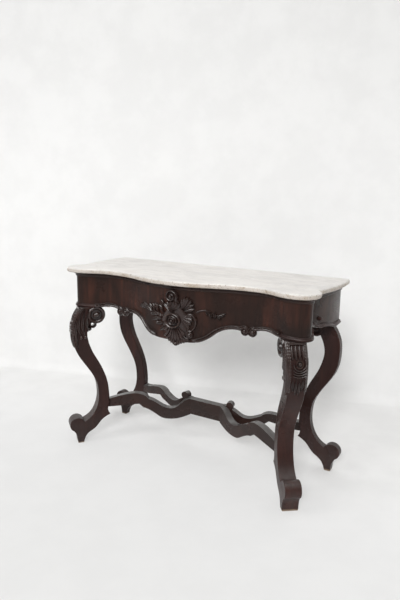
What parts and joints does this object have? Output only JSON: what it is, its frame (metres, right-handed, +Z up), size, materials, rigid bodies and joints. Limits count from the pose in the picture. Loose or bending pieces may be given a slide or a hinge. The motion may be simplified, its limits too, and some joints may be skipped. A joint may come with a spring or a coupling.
{
  "type": "pier table",
  "caption": "Pier table: a loose serpentine marble slab on a carved dark wood frame with a shaped apron, S-scroll legs and a double-Y stretcher.",
  "frame": {"origin": "on the floor, at the middle of the table in plan", "axes": "+X along the table to its right end, +Y to the wall at its back, +Z up"},
  "size_m": [1.2581, 0.506, 0.86],
  "materials": {
    "marble": "polished",
    "mahogany": "polished lacquer",
    "plain_wood": "bare",
    "screw": "plain"
  },
  "bodies": {
    "frame": {"arm_dowels": "plain_wood", "back_left_arm": "mahogany", "back_left_corner_block": "plain_wood", "back_left_leg": "mahogany", "back_rail": "plain_wood", "back_right_arm": "mahogany", "back_right_corner_block": "plain_wood", "back_right_leg": "mahogany", "bar_dowels": "plain_wood", "block_screws": "screw", "cartouche": "mahogany", "centre_bar": "mahogany", "crest_volute": "mahogany", "front_apron": "mahogany", "front_left_arm": "mahogany", "front_left_corner_bead": "mahogany", "front_left_corner_block": "plain_wood", "front_left_knee_leaf": "mahogany", "front_left_leg": "mahogany", "front_right_arm": "mahogany", "front_right_corner_bead": "mahogany", "front_right_corner_block": "plain_wood", "front_right_knee_leaf": "mahogany", "front_right_leg": "mahogany", "glue_blocks": "plain_wood", "left_bearer": "plain_wood", "left_end_apron": "mahogany", "left_end_bead": "mahogany", "left_inner_scroll": "mahogany", "left_leaf_spray": "mahogany", "left_outer_scroll": "mahogany", "left_top_moulding": "mahogany", "leg_dowels": "plain_wood", "right_bearer": "plain_wood", "right_end_apron": "mahogany", "right_end_bead": "mahogany", "right_inner_scroll": "mahogany", "right_leaf_sprig": "mahogany", "right_outer_scroll": "mahogany", "right_top_moulding": "mahogany", "rosette": "mahogany", "top_moulding_front": "mahogany"},
    "top": {"marble_top": "marble"}
  },
  "joints": [
    {"name": "marble_lift", "type": "slide", "parent": "frame", "child": "top", "axis": [0, 0, 1], "range_m": [0, 0.1]}
  ]
}
